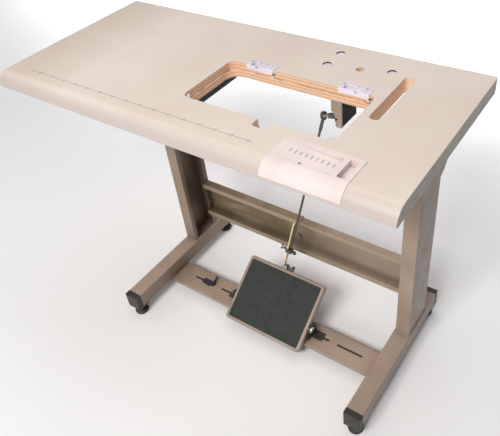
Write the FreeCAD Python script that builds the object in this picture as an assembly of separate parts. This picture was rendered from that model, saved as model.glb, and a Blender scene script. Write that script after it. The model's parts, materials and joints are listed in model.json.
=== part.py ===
import FreeCAD, Part
import math
import os

from FreeCAD import Placement, Rotation, Vector

# Work table for an industrial sewing machine: laminated top on a steel T-leg stand, with a treadle.
# Millimetres. X runs along the top's long side, -Y faces the operator, Z is up.
# The origin is on the floor, at the middle of the footprint.

# ---- driving dimensions ----
TOP_Z = 780.0
TABLE_LENGTH = 1200.0
TABLE_DEPTH = 550.0
TABLE_THICKNESS = 40.0
FOOT_OVERHANG = 50.0
NOSE_RADIUS = 36.0
LAMINATE = 0.8
EDGE_BAND = 1.0
TOP_PARTING = 21.0

STAND_CENTRES = (-264.0, 531.0)
COLUMN_WIDTH = 40.0
COLUMN_DEPTH = 115.0
COLUMN_FRONT_Y = 3.0
COLUMN_LIP = 15.0
TAB_BOLT_Y = 107.5
TAB_HOLE_RADIUS = 3.1
TAB_BOLT_ZS = (192.0, 251.0)
SHEET = 2.5
FOOT_WIDTH = 50.0
FOOT_HEIGHT = 52.0
FOOT_TOP_Z = 90.0
CAP_LENGTH = 20.0

PEDAL_WIDTH = 272.0
PEDAL_LENGTH = 212.0
PEDAL_TILT = 36.0
PEDAL_CENTRE_X = 151.0
PEDAL_PIVOT = Vector(PEDAL_CENTRE_X, -109.0, 75.0)
LUG_REACH = 145.5
LUG_HEIGHT = 2.0
ROD_X = 138.0
LEVER_BALL = Vector(230.0, 110.0, 676.0)
LEVER_SHAFT_X = 276.0
LEVER_SHAFT_Z = 688.0

# ---- derived places ----
HALF_LENGTH = TABLE_LENGTH / 2
BACK_Y = (TABLE_DEPTH + FOOT_OVERHANG) / 2
FRONT_Y = BACK_Y - TABLE_DEPTH
UNDER_Z = TOP_Z - TABLE_THICKNESS
NOSE_Y = FRONT_Y + NOSE_RADIUS
NOSE_Z = TOP_Z - NOSE_RADIUS
FOOT_BOTTOM_Z = FOOT_TOP_Z - FOOT_HEIGHT
FOOT_FRONT_Y = FRONT_Y - FOOT_OVERHANG + CAP_LENGTH
FOOT_REAR_Y = 185.0
COLUMN_BACK_Y = COLUMN_FRONT_Y + COLUMN_DEPTH
ARM_PLATE = 3.0
COLUMN_TOP_Z = UNDER_Z - ARM_PLATE
PEDAL_TURN = Rotation(Vector(1, 0, 0), PEDAL_TILT)
ROD_FOOT = PEDAL_PIVOT + PEDAL_TURN.multVec(Vector(ROD_X - PEDAL_CENTRE_X, LUG_REACH, LUG_HEIGHT))
ROD_TURN = Rotation(Vector(0, 0, 1), LEVER_BALL - ROD_FOOT)
BAR_OFFSET = 7.7
EYE_CENTRE = ROD_FOOT + ROD_TURN.multVec(Vector(-BAR_OFFSET, 0, 0))

CUTOUT = (-43.0, 386.0, -107.0, 95.0)
CUTOUT_RADIUS = 20.0
LEDGE = 2.5
LEDGE_RADIUS = 38.0
NOTCH = (188.0, 229.0, -137.0, -80.0)
BELT_SLOT = (407.0, 435.0, 4.0, 208.0)
CABLE_HOLES = ((202.0, 251.0), (199.0, 185.0), (366.0, 215.0))
CABLE_HOLE_RADIUS = 12.5
HOLE_CAP_DROP = 3.5
THREAD_STAND_HOLE = (289.0, 195.0)
THREAD_STAND_RADIUS = 10.0

os.makedirs("parts", exist_ok=True)


def save(name, *shapes):
    shape = shapes[0] if len(shapes) == 1 else Part.makeCompound(list(shapes))
    shape.exportStep("parts/" + name + ".step")


def block(x0, x1, y0, y1, z0, z1):
    return Part.makeBox(x1 - x0, y1 - y0, z1 - z0, Vector(x0, y0, z0))


def rod_x(radius, x0, x1, y, z):
    return Part.makeCylinder(radius, x1 - x0, Vector(x0, y, z), Vector(1, 0, 0))


def rod_y(radius, y0, y1, x, z):
    return Part.makeCylinder(radius, y1 - y0, Vector(x, y0, z), Vector(0, 1, 0))


def rod_z(radius, z0, z1, x, y):
    return Part.makeCylinder(radius, z1 - z0, Vector(x, y, z0), Vector(0, 0, 1))


def join(first, *others):
    return first.fuse(list(others)).removeSplitter()


def cut(shape, *tools):
    return shape.cut(list(tools)).removeSplitter()


def arc(start, middle, end):
    return Part.Arc(start, middle, end).toShape()


def line(start, end):
    return Part.LineSegment(start, end).toShape()


def prism(edges, direction):
    return Part.Face(Part.Wire(edges)).extrude(direction)


def polygon_prism(points, direction):
    return Part.Face(Part.makePolygon(points + [points[0]])).extrude(direction)


def hexagon_z(across_flats, z0, z1, x, y):
    radius = across_flats / math.sqrt(3)
    corners = []
    for step in range(6):
        angle = math.radians(60 * step)
        corners.append(Vector(x + radius * math.cos(angle), y + radius * math.sin(angle), z0))
    return polygon_prism(corners, Vector(0, 0, z1 - z0))


def rounded_block(x0, x1, y0, y1, z0, z1, radius):
    """Block whose four upright edges are rounded."""
    body = block(x0, x1, y0, y1, z0, z1)
    upright = [e for e in body.Edges if abs(e.Vertexes[0].Z - e.Vertexes[1].Z) > 0.5 * (z1 - z0)]
    return body.makeFillet(radius, upright)


# ---- table top ----
def nose_profile(skin, x):
    """Cross-section of the top with its rolled front edge, drawn inside a skin of that thickness."""
    top = TOP_Z - skin
    front = FRONT_Y + skin
    big = NOSE_RADIUS - skin
    small = (NOSE_Z - UNDER_Z) - skin
    diagonal = math.sqrt(0.5)
    foot_y = FRONT_Y + (NOSE_Z - UNDER_Z)
    tuck_y = foot_y + 20.0
    points = [
        Vector(x, BACK_Y, UNDER_Z), Vector(x, BACK_Y, top), Vector(x, NOSE_Y, top),
        Vector(x, front, NOSE_Z), Vector(x, foot_y, UNDER_Z + skin),
    ]
    big_middle = Vector(x, NOSE_Y - big * diagonal, NOSE_Z + big * diagonal)
    small_middle = Vector(x, foot_y - small * diagonal, NOSE_Z - small * diagonal)
    edges = [
        line(points[0], points[1]), line(points[1], points[2]), arc(points[2], big_middle, points[3]),
        arc(points[3], small_middle, points[4]),
    ]
    if skin > 0:
        tuck = Vector(x, tuck_y, UNDER_Z + skin)
        step = Vector(x, tuck_y, UNDER_Z)
        edges += [line(points[4], tuck), line(tuck, step), line(step, points[0])]
    else:
        edges.append(line(points[4], points[0]))
    return edges


def top_solid(skin):
    return prism(nose_profile(skin, -HALF_LENGTH), Vector(TABLE_LENGTH, 0, 0))


def plan_solid(inset, radius):
    """Plan outline of the top with rounded back corners, as a tall solid."""
    x1 = HALF_LENGTH - inset
    body = block(-x1, x1, FRONT_Y - 5, BACK_Y - inset, UNDER_Z - 5, TOP_Z + 5)
    upright = [e for e in body.Edges if abs(e.Vertexes[0].Z - e.Vertexes[1].Z) > TABLE_THICKNESS]
    back = [e for e in upright if e.Vertexes[0].Y > 0]
    return body.makeFillet(radius, back)


def ledge_cut(z0, z1):
    x0, x1, y0, y1 = CUTOUT
    return rounded_block(x0 + LEDGE, x1 - LEDGE, y0 + LEDGE, y1 - LEDGE, z0, z1, LEDGE_RADIUS)


def through_cuts():
    """Everything that goes right through the top, laminate included."""
    low = UNDER_Z - 1
    high = TOP_Z + 3
    tools = [rounded_block(*NOTCH, low, high, 12.0)]
    tools.append(rounded_block(*BELT_SLOT, low, high, 13.9))
    for x, y in CABLE_HOLES:
        tools.append(rod_z(CABLE_HOLE_RADIUS, low, high, x, y))
    tools.append(rod_z(THREAD_STAND_RADIUS, low, high, *THREAD_STAND_HOLE))
    return tools


SEAT_SPANS = ((7.0, 93.0), (281.0, 367.0))
SEAT_DEPTH = 27.0
SEAT_DROP = 13.0
SEAT_LUG = 6.0
TRAY = (287.0, 482.0)
TRAY_BACK_Y = -136.0
TRAY_FLOOR_Z = TOP_Z - 18.0
TRAY_SKIN = 3.0
TRAY_PROUD = 1.5
TRAY_FOOT_Z = TOP_Z - 28.0
TRAY_WALL_Y = -210.0


def tray_solid(grow):
    """The tray's envelope: a shallow block behind the nose and a skin that wraps over it."""
    x0, x1 = TRAY[0] - grow, TRAY[1] + grow
    height = TOP_Z + TRAY_PROUD
    back = block(x0, x1, NOSE_Y, TRAY_BACK_Y + grow, TRAY_FLOOR_Z - grow, height)
    outer = rod_x(NOSE_RADIUS + TRAY_PROUD, x0, x1, NOSE_Y, NOSE_Z)
    inner = rod_x(NOSE_RADIUS - TRAY_SKIN - grow, x0 - 1, x1 + 1, NOSE_Y, NOSE_Z)
    quarter = block(x0, x1, FRONT_Y - TRAY_PROUD, NOSE_Y, TRAY_FOOT_Z - grow, height)
    wrap = outer.common(quarter).cut(inner)
    return join(back, wrap)


def make_top():
    envelope = plan_solid(EDGE_BAND, 7.0)
    core = top_solid(LAMINATE).common(envelope)
    laminate = top_solid(0.0).common(envelope).cut(top_solid(LAMINATE))
    band = top_solid(0.0).common(plan_solid(0.0, 8.0)).cut(envelope)
    parting_z = TOP_Z - TOP_PARTING
    upper = rounded_block(*CUTOUT, parting_z, TOP_Z + 1, CUTOUT_RADIUS)
    lower = ledge_cut(UNDER_Z - 1, parting_z)
    seats = []
    for x0, x1 in SEAT_SPANS:
        y1 = CUTOUT[3] + SEAT_DEPTH
        floor_z = TOP_Z - SEAT_DROP
        seats.append(rounded_block(x0, x1, CUTOUT[3] - 30, y1, floor_z, TOP_Z + 1, 3.0))
        seats.append(block(x1 - SEAT_LUG - 0.4, x1, CUTOUT[3] - 1, CUTOUT[3] + 8, parting_z, floor_z + 1))
    tray_pocket = tray_solid(0.2)
    shared = through_cuts() + seats + [upper, tray_pocket]
    save("table_core", cut(core, lower, *shared))
    save("table_laminate", cut(laminate, *shared))
    save("edge_band", band)


def make_hole_caps():
    """Plastic cups sunk in the three cable holes, closed side up."""
    caps = []
    crown = TOP_Z - HOLE_CAP_DROP
    for x, y in CABLE_HOLES:
        cup = rod_z(CABLE_HOLE_RADIUS - 0.05, crown - 14, crown, x, y)
        caps.append(cup.cut(rod_z(CABLE_HOLE_RADIUS - 2, crown - 15, crown - 2.5, x, y)))
    save("hole_caps", *caps)


def make_seats():
    """Plastic cups that hold the machine head's two hinges."""
    for name, span, pin_x in (("left", SEAT_SPANS[0], 35.0), ("right", SEAT_SPANS[1], 50.0)):
        x0, x1 = span[0] + 0.2, span[1] - 0.2
        y0 = CUTOUT[3] - 2.0
        y1 = CUTOUT[3] + SEAT_DEPTH - 0.2
        z0 = TOP_Z - SEAT_DROP
        cup = rounded_block(x0, x1, y0, y1, z0, TOP_Z + 1.5, 2.5)
        lug = block(x1 - SEAT_LUG, x1, y0, CUTOUT[3] + 7.8, TOP_Z - TOP_PARTING, z0 + 4)
        body = join(cup, lug)
        cradle = rod_x(8.0, x0 + 14, x1 - 10, y0 + 10, TOP_Z)
        mouth = block(x0 + 14, x1 - 10, y0 + 2, y0 + 18, TOP_Z - 2, TOP_Z + 3)
        pin_slot = block(x0 + pin_x - 4, x0 + pin_x + 4, y0 - 1, y0 + 10, TOP_Z - 6, TOP_Z + 3)
        screw = rod_z(2.2, z0 - 1, TOP_Z + 3, x0 + 7, y0 + 19)
        save("hinge_seat_" + name, cut(body, cradle, mouth, pin_slot, screw))


def make_cushions():
    """Corner pads on the two front ledges of the cut-out."""
    x0, x1, y0, y1 = CUTOUT
    z0 = TOP_Z - TOP_PARTING
    z1 = z0 + 16.0
    reach = 22.0
    hole = rounded_block(x0 + 0.2, x1 - 0.2, y0 + 0.2, y1 - 0.2, z0, z1, CUTOUT_RADIUS)
    open_space = ledge_cut(z0 - 1, z1 + 1)
    for name, x in (("left", x0), ("right", x1 - reach)):
        corner = block(x, x + reach, y0, y0 + reach, z0, z1)
        save("corner_cushion_" + name, hole.common(corner).cut(open_space).removeSplitter())


def make_tray():
    x0, x1 = TRAY
    body = tray_solid(0.0)
    high = TOP_Z + 4
    ramp = [
        Vector(x0 + 18, TRAY_WALL_Y, high), Vector(x0 + 18, TRAY_WALL_Y, TOP_Z + 1),
        Vector(x0 + 150, TRAY_WALL_Y, TOP_Z - 6.5), Vector(x0 + 150, TRAY_WALL_Y, high),
    ]
    recess = polygon_prism(ramp, Vector(0, 60.0, 0))
    bin_cut = rounded_block(x0 + 163, x0 + 183, TRAY_WALL_Y, -148.0, TOP_Z - 13, high, 3.0)
    screws = []
    holes = []
    for x, y, seat in ((x0 + 74, TRAY_WALL_Y + 7, TOP_Z - 7), (x0 + 173, TRAY_WALL_Y + 12, TOP_Z - 13)):
        holes.append(rod_z(1.7, TRAY_FLOOR_Z - 1, TOP_Z, x, y))
        holes.append(rod_z(3.6, seat, high, x, y))
        head = rod_z(3.4, seat, seat + 1.8, x, y)
        slot = block(x - 4, x + 4, y - 0.4, y + 0.4, seat + 1.2, seat + 2)
        screws.append(cut(join(head, rod_z(1.6, TRAY_FLOOR_Z, seat + 1, x, y)), slot))
    save("accessory_tray", cut(body, recess, bin_cut, *holes))
    save("tray_screws", *screws)


# ---- drawer under the top ----
DRAWER = (-222.0, -80.0, -150.0, 155.0, 692.0, 730.0)


def make_drawer():
    x0, x1, y0, y1, z0, z1 = DRAWER
    wall = 2.5
    shell = rounded_block(x0, x1, y0, y1, z0, z1, 6.0)
    hollow = rounded_block(x0 + wall, x1 - wall, y0 + 4, y1 - wall, z0 + wall, z1 + 1, 4.0)
    rails = [
        block(x0 - 8, x0 + 1, y0 + 8, y1 - 8, z1 - 2.5, z1),
        block(x1 - 1, x1 + 8, y0 + 8, y1 - 8, z1 - 2.5, z1),
    ]
    pull = rounded_block(x0 + 40, x1 - 40, y0 - 12, y0 + 2, z0 + 8, z0 + 12, 1.5)
    divider = block((x0 + x1) / 2 - 1, (x0 + x1) / 2 + 1, y0 + 3, y1 - wall, z0 + 1, z1 - 12)
    tray = join(join(shell, *rails, pull).cut(hollow), divider)
    save("drawer_tray", tray)
    ledge_z = z1 - 2.5 - 0.3
    screws = []
    for name, side, edge in (("left", -1, x0), ("right", 1, x1)):
        web = edge + side * 9.0
        section = [
            Vector(edge + side * 1.5, y0, ledge_z - 2), Vector(web + side * 2, y0, ledge_z - 2),
            Vector(web + side * 2, y0, UNDER_Z - 2), Vector(web + side * 12, y0, UNDER_Z - 2),
            Vector(web + side * 12, y0, UNDER_Z), Vector(web, y0, UNDER_Z),
            Vector(web, y0, ledge_z), Vector(edge + side * 1.5, y0, ledge_z),
        ]
        runner = polygon_prism([Vector(p.x, y0 + 5, p.z) for p in section], Vector(0, y1 - y0 - 10, 0))
        for y in (y0 + 30, (y0 + y1) / 2, y1 - 30):
            x = web + side * 7
            runner = runner.cut(rod_z(2.1, UNDER_Z - 3, UNDER_Z + 1, x, y))
            head = Part.makeCone(3.6, 2.0, 1.8, Vector(x, y, UNDER_Z - 3.8), Vector(0, 0, 1))
            screws.append(join(head, rod_z(2.0, UNDER_Z - 2.1, UNDER_Z, x, y)))
        save("drawer_runner_" + name, runner.removeSplitter())
    save("runner_screws", *screws)


# ---- stand ----
def column_outline(x, opens):
    """Plan corners of the lipped channel; opens is +1 when the lips face +X."""
    outer = x - opens * COLUMN_WIDTH / 2
    inner = x + opens * COLUMN_WIDTH / 2
    y0, y1 = COLUMN_FRONT_Y, COLUMN_BACK_Y
    web = outer + opens * SHEET
    lip = inner - opens * SHEET
    flat = [
        (outer, y0), (inner, y0), (inner, y0 + COLUMN_LIP), (lip, y0 + COLUMN_LIP), (lip, y0 + SHEET),
        (web, y0 + SHEET), (web, y1 - SHEET), (lip, y1 - SHEET), (lip, y1 - COLUMN_LIP),
        (inner, y1 - COLUMN_LIP), (inner, y1), (outer, y1),
    ]
    return [Vector(a, b, FOOT_TOP_Z) for a, b in flat]


def make_columns():
    for name, x, opens in (("left", STAND_CENTRES[0], 1), ("right", STAND_CENTRES[1], -1)):
        channel = polygon_prism(column_outline(x, opens), Vector(0, 0, COLUMN_TOP_Z - FOOT_TOP_Z))
        outer = x - opens * COLUMN_WIDTH / 2
        inner = x + opens * COLUMN_WIDTH / 2
        for z in TAB_BOLT_ZS:
            channel = channel.cut(rod_x(TAB_HOLE_RADIUS, inner - 4, inner + 4, TAB_BOLT_Y, z))
        outer_edges = []
        for edge in channel.Edges:
            ends = [v.Point for v in edge.Vertexes]
            if len(ends) == 2 and abs(ends[0].z - ends[1].z) > 100 and abs(ends[0].x - outer) < 0.1:
                outer_edges.append(edge)
        save(name + "_column", channel.makeFillet(2.0, outer_edges))


ARM_SPAN = (-62.0, 252.0)
ARM_SCREW_YS = (-45.0, -15.0, 150.0, 235.0)


def make_top_arms():
    """Plates that carry the top on the columns, each with a gusset behind its column."""
    screws = []
    for name, x, opens in (("left", STAND_CENTRES[0], 1), ("right", STAND_CENTRES[1], -1)):
        x0, x1 = x - COLUMN_WIDTH / 2, x + COLUMN_WIDTH / 2
        plate = rounded_block(x0, x1, *ARM_SPAN, COLUMN_TOP_Z, UNDER_Z, 8.0)
        outer = x - opens * COLUMN_WIDTH / 2
        y0 = COLUMN_BACK_Y
        corners = [
            Vector(outer, y0, 590.0), Vector(outer, y0 + 17, 600.0), Vector(outer, y0 + 36, 622.0),
            Vector(outer, y0 + 108, 712.0), Vector(outer, y0 + 118, COLUMN_TOP_Z),
            Vector(outer, y0, COLUMN_TOP_Z),
        ]
        gusset = polygon_prism(corners, Vector(opens * 4.0, 0, 0))
        arm = join(plate, gusset)
        for y in ARM_SCREW_YS:
            hole_x = x + opens * 5
            arm = arm.cut(rod_z(3.1, COLUMN_TOP_Z - 1, UNDER_Z + 1, hole_x, y))
            head = hexagon_z(10.0, COLUMN_TOP_Z - 4.5, COLUMN_TOP_Z, hole_x, y)
            screws.append(join(head, rod_z(3.0, COLUMN_TOP_Z - 1, UNDER_Z, hole_x, y)))
        save(name + "_top_arm", arm.removeSplitter())
    save("top_arm_screws", *screws)


BAR = (-284.0, 551.0, -139.0, -55.0)
BAR_PLATE = 3.0
BAR_FLANGE = 12.0
BAR_SLOTS = ((-173.0, -127.0), (-65.0, 15.0), (290.0, 346.0), (372.0, 455.0))
SLOT_Y = -93.0
SLOT_WIDTH = 7.0
BAR_BOLT_YS = (-122.0, -72.0)

GLIDE_RADIUS = 22.0
STEM_RADIUS = 5.0
PAD_HEIGHT = 13.0


def foot_ends():
    """(tag, direction along Y, tube end Y) of the two ends of a foot."""
    return (("front", -1, FOOT_FRONT_Y), ("rear", 1, FOOT_REAR_Y))


def make_feet():
    half = FOOT_WIDTH / 2
    for side, x in (("left", STAND_CENTRES[0]), ("right", STAND_CENTRES[1])):
        z0, z1 = FOOT_BOTTOM_Z, FOOT_TOP_Z
        tube = block(x - half, x + half, FOOT_FRONT_Y, FOOT_REAR_Y, z0, z1)
        long_edges = [e for e in tube.Edges if abs(e.Vertexes[0].Y - e.Vertexes[1].Y) > 100]
        tube = tube.makeFillet(3.5, long_edges)
        bore = block(x - half + SHEET, x + half - SHEET, FOOT_FRONT_Y - 1, FOOT_REAR_Y + 1,
                     z0 + SHEET, z1 - SHEET)
        openings = [bore]
        for tag, way, end_y in foot_ends():
            openings.append(rod_z(STEM_RADIUS + 3, z0 - 1, z0 + SHEET + 1, x, end_y - way * 6))
        for y in BAR_BOLT_YS:
            openings.append(rod_z(4.1, z0 - 1, z0 + SHEET + 1, x, y))
        save(side + "_foot", cut(tube, *openings))
        for tag, way, end_y in foot_ends():
            make_cap(tag + "_cap_" + side, x, end_y, way)
            make_glide(tag + "_" + side, x, end_y - way * 6)


def make_cap(name, x, end_y, way):
    """Plastic cap: a block beyond the tube, a plug inside it and a boss under it for the glide."""
    half = FOOT_WIDTH / 2
    z0, z1 = FOOT_BOTTOM_Z, FOOT_TOP_Z
    tip_y = end_y + way * CAP_LENGTH
    low, high = sorted((end_y, tip_y))
    head = block(x - half, x + half, low, high, z0 - 4, z1)
    tip_edges = []
    for edge in head.Edges:
        if all(abs(v.Y - tip_y) < 0.01 for v in edge.Vertexes):
            tip_edges.append(edge)
    head = head.makeFillet(4.0, tip_edges)
    low, high = sorted((end_y - way * 26, end_y + way))
    inset = SHEET + 0.1
    plug = block(x - half + inset, x + half - inset, low, high, z0 + inset, z1 - inset)
    low, high = sorted((end_y - way * 24, end_y + way))
    sole = block(x - half, x + half, low, high, z0 - 4, z0)
    boss = rod_z(14.0, z0 - 12, z0 - 3, x, end_y - way * 6)
    bore = rod_z(STEM_RADIUS + 0.06, z0 - 13, z1 - 12, x, end_y - way * 6)
    sleeve = rod_z(STEM_RADIUS + 2.9, z0 - 1, z0 + inset + 1, x, end_y - way * 6)
    save(name, cut(join(head, plug, sole, boss, sleeve), bore))


def make_glide(tag, x, y):
    """Levelling glide: threaded stem and the pad that stands on the floor."""
    pad = rod_z(GLIDE_RADIUS, 0.0, PAD_HEIGHT, x, y)
    rims = [e for e in pad.Edges if len(e.Vertexes) == 1]
    pad = pad.makeFillet(2.0, rims)
    pad = cut(pad, rod_z(STEM_RADIUS, 5.0, PAD_HEIGHT + 1, x, y))
    stem = rod_z(STEM_RADIUS, 5.0, FOOT_TOP_Z - 16, x, y)
    collar = hexagon_z(15.0, PAD_HEIGHT, PAD_HEIGHT + 6, x, y)
    save("glide_pad_" + tag, pad)
    save("glide_stem_" + tag, join(stem, collar))


# ---- rear brace ----
BRACE_TOP_Z = 280.0
BRACE_BACK_Y = COLUMN_BACK_Y
BRACE_DEPTH = 30.0
BRACE_FLOOR_Z = 163.0
BRACE_LIP = 13.0
BRACE_SPLIT_X = 140.0
BRACE_OVERLAP = 60.0
TAB_DEPTH = 22.0


def brace_section(x, inset):
    """Channel that opens to the front, with lips that turn down; one half nests in the other."""
    back = BRACE_BACK_Y - inset
    front = BRACE_BACK_Y - BRACE_DEPTH
    top = BRACE_TOP_Z - inset
    floor = BRACE_FLOOR_Z + inset
    lip_floor = BRACE_FLOOR_Z - BRACE_LIP
    under = front + inset
    over = front - inset
    flat = [
        (back, floor), (back, top), (under, top), (under, top - BRACE_LIP),
        (under + SHEET, top - BRACE_LIP), (under + SHEET, top - SHEET), (back - SHEET, top - SHEET),
        (back - SHEET, floor + SHEET), (over, floor + SHEET), (over, lip_floor),
        (over + SHEET, lip_floor), (over + SHEET, floor),
    ]
    return [Vector(x, y, z) for y, z in flat]


def brace_bolt_places():
    return [(BRACE_SPLIT_X - 18, z) for z in (BRACE_FLOOR_Z + 32, BRACE_TOP_Z - 36)]


def make_brace():
    left_end = STAND_CENTRES[0] + COLUMN_WIDTH / 2
    right_end = STAND_CENTRES[1] - COLUMN_WIDTH / 2
    nest = SHEET + 0.1
    left = polygon_prism(brace_section(left_end, 0.0), Vector(BRACE_SPLIT_X - left_end, 0, 0))
    start = BRACE_SPLIT_X - BRACE_OVERLAP
    right = polygon_prism(brace_section(start, nest), Vector(right_end - start, 0, 0))
    halves = {"brace_left": (left, left_end, 1), "brace_right": (right, right_end, -1)}
    web_holes = [rod_y(4.1, BRACE_BACK_Y - 10, BRACE_BACK_Y + 5, x, z) for x, z in brace_bolt_places()]
    bolts = []
    for name, (channel, end_x, way) in halves.items():
        low, high = sorted((end_x, end_x + way * 4))
        tab = block(low, high, BRACE_BACK_Y - TAB_DEPTH, BRACE_BACK_Y, BRACE_FLOOR_Z + 4, BRACE_TOP_Z - 4)
        tab_holes = [rod_x(TAB_HOLE_RADIUS, low - 1, high + 1, TAB_BOLT_Y, z) for z in TAB_BOLT_ZS]
        save(name, cut(join(channel, tab), *web_holes, *tab_holes))
        for z in TAB_BOLT_ZS:
            shank = rod_x(3.0, *sorted((end_x - way * 9, end_x + way * 5)), TAB_BOLT_Y, z)
            head = rod_x(4.8, *sorted((end_x + way * 4, end_x + way * 8)), TAB_BOLT_Y, z)
            nut = rod_x(5.0, *sorted((end_x - way * 8, end_x - way * SHEET)), TAB_BOLT_Y, z)
            bolts.append(join(shank, head, nut))
    for x, z in brace_bolt_places():
        shank = rod_y(4.0, BRACE_BACK_Y - 12, BRACE_BACK_Y + 1, x, z)
        head = rod_y(7.5, BRACE_BACK_Y, BRACE_BACK_Y + 4, x, z)
        nut = rod_y(6.5, BRACE_BACK_Y - 11, BRACE_BACK_Y - 2 * SHEET - 0.1, x, z)
        bolts.append(join(shank, head, nut))
    save("brace_bolts", *bolts)


# ---- treadle bar ----
def make_bar():
    x0, x1, y0, y1 = BAR
    top = FOOT_BOTTOM_Z
    plate = block(x0, x1, y0, y1, top - BAR_PLATE, top)
    front = block(x0, x1, y0, y0 + BAR_PLATE, top - BAR_FLANGE, top)
    rear = block(x0, x1, y1 - BAR_PLATE, y1, top - BAR_FLANGE, top)
    base = block(x0, x1, y0, y1, top - BAR_FLANGE, top - BAR_FLANGE + 2)
    bar = join(plate, front, rear, base)
    outer = [e for e in bar.Edges if abs(e.Vertexes[0].X - e.Vertexes[-1].X) > 500
             and abs(e.Vertexes[0].Z - top) < 0.01]
    bar = bar.makeFillet(2.0, outer)
    tools = []
    for start, end in BAR_SLOTS:
        tools.append(rounded_block(start, end, SLOT_Y - SLOT_WIDTH / 2, SLOT_Y + SLOT_WIDTH / 2,
                                   top - BAR_PLATE - 1, top + 1, SLOT_WIDTH / 2 - 0.05))
    bolts = []
    for x in STAND_CENTRES:
        for y in BAR_BOLT_YS:
            tools.append(rod_z(4.1, top - BAR_PLATE - 1, top + 1, x, y))
            shank = rod_z(4.0, top - BAR_PLATE - 1, top + 14, x, y)
            head = hexagon_z(13.0, top - BAR_PLATE - 5.5, top - BAR_PLATE, x, y)
            nut = hexagon_z(13.0, top + SHEET, top + SHEET + 6.5, x, y)
            bolts.append(join(shank, head, nut))
    save("treadle_bar", cut(bar, *tools))
    save("bar_bolts", *bolts)


def make_spare_hook():
    """Loose-parts hook bolted in the first slot."""
    top = FOOT_BOTTOM_Z
    x = BAR_SLOTS[0][1] - 5.0
    base = [
        Vector(x - 8, SLOT_Y - 9, top), Vector(x + 20, SLOT_Y - 13, top), Vector(x + 38, SLOT_Y - 6, top),
        Vector(x + 40, SLOT_Y + 6, top), Vector(x + 14, SLOT_Y + 9, top), Vector(x - 8, SLOT_Y + 9, top),
    ]
    foot = polygon_prism(base, Vector(0, 0, 3))
    finger = [
        Vector(x + 33, SLOT_Y - 8, top), Vector(x + 33, SLOT_Y + 6, top),
        Vector(x + 33, SLOT_Y + 26, top + 16), Vector(x + 33, SLOT_Y + 22, top + 21),
        Vector(x + 33, SLOT_Y - 2, top + 12),
    ]
    arm = polygon_prism(finger, Vector(4, 0, 0))
    bolt = join(rod_z(3.0, top - 9, top + 2, x, SLOT_Y), rod_z(6.0, top + 3, top + 6, x, SLOT_Y),
                rod_z(3.0, top + 1, top + 4, x, SLOT_Y), rod_z(6.0, top - 9, top - BAR_PLATE, x, SLOT_Y))
    save("spare_hook", join(foot, arm, bolt))


# ---- pedal ----
PEDAL_RIM = 10.0
PEDAL_FRONT = -78.0
PEDAL_REAR = PEDAL_FRONT + PEDAL_LENGTH
PEDAL_TOP = 12.0
PEDAL_FLOOR = 8.0
MAT_GAP = 0.02
PEDAL_SKIRT = -5.0
PIN_RADIUS = 5.0
BRACKET_GAP = 3.0
BRACKET_PLATE = 3.0
LUG_X = ROD_X - PEDAL_CENTRE_X + 2.0
LUG_WIDTH = 24.0
LUG_START = 112.0
EAR_PLATE = 3.5
EAR_RADIUS = 5.2
PIN_BALL = 3.6


def to_pedal(shape):
    """Moves a shape drawn flat about the pivot to its tilted place."""
    placed = shape.copy()
    placed.Placement = Placement(PEDAL_PIVOT, PEDAL_TURN)
    return placed


def make_pedal():
    half = PEDAL_WIDTH / 2
    front, rear = PEDAL_FRONT, PEDAL_REAR
    body = rounded_block(-half, half, front, rear, PEDAL_SKIRT, PEDAL_TOP, 12.0)
    top_rim = [e for e in body.Edges if all(abs(v.Z - PEDAL_TOP) < 0.01 for v in e.Vertexes)]
    body = body.makeFillet(6.0, top_rim)
    rim = PEDAL_RIM
    recess = rounded_block(-half + rim, half - rim, front + rim, rear - rim, PEDAL_FLOOR, PEDAL_TOP + 1, 5.0)
    wall = 4.0
    under = rounded_block(-half + wall, half - wall, front + wall, rear - wall, PEDAL_SKIRT - 1,
                          PEDAL_FLOOR - 3.5, 8.0)
    ribs = [block(-half + 3, half - 3, y - 1.5, y + 1.5, PEDAL_SKIRT + 2, PEDAL_FLOOR - 3)
            for y in (-40.0, 35.0, 85.0)]
    ribs += [block(x - 1.5, x + 1.5, front + 3, rear - 3, PEDAL_SKIRT + 2, PEDAL_FLOOR - 3)
             for x in (-68.0, 0.0, 68.0)]
    ears = []
    bores = []
    for way in (-1, 1):
        low, high = sorted((way * (half - 12), way * half))
        ears.append(join(rod_x(11.0, low, high, 0, 0), block(low, high, -11, 11, 0, PEDAL_FLOOR - 3)))
        bores.append(rod_x(PIN_RADIUS + 0.05, low - 1, high + 1, 0, 0))
    seat = block(LUG_X, LUG_X + LUG_WIDTH, LUG_START, rear - 2, PEDAL_SKIRT, PEDAL_FLOOR - 3)
    frame = cut(join(body.cut(under), seat, *ribs, *ears), recess, *bores)
    save("pedal_frame", to_pedal(frame))
    mat = rounded_block(-half + rim + 0.3, half - rim - 0.3, front + rim + 0.3, rear - rim - 0.3,
                        PEDAL_FLOOR + MAT_GAP, PEDAL_TOP - 0.8, 4.7)
    save("pedal_mat", to_pedal(mat))


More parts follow.
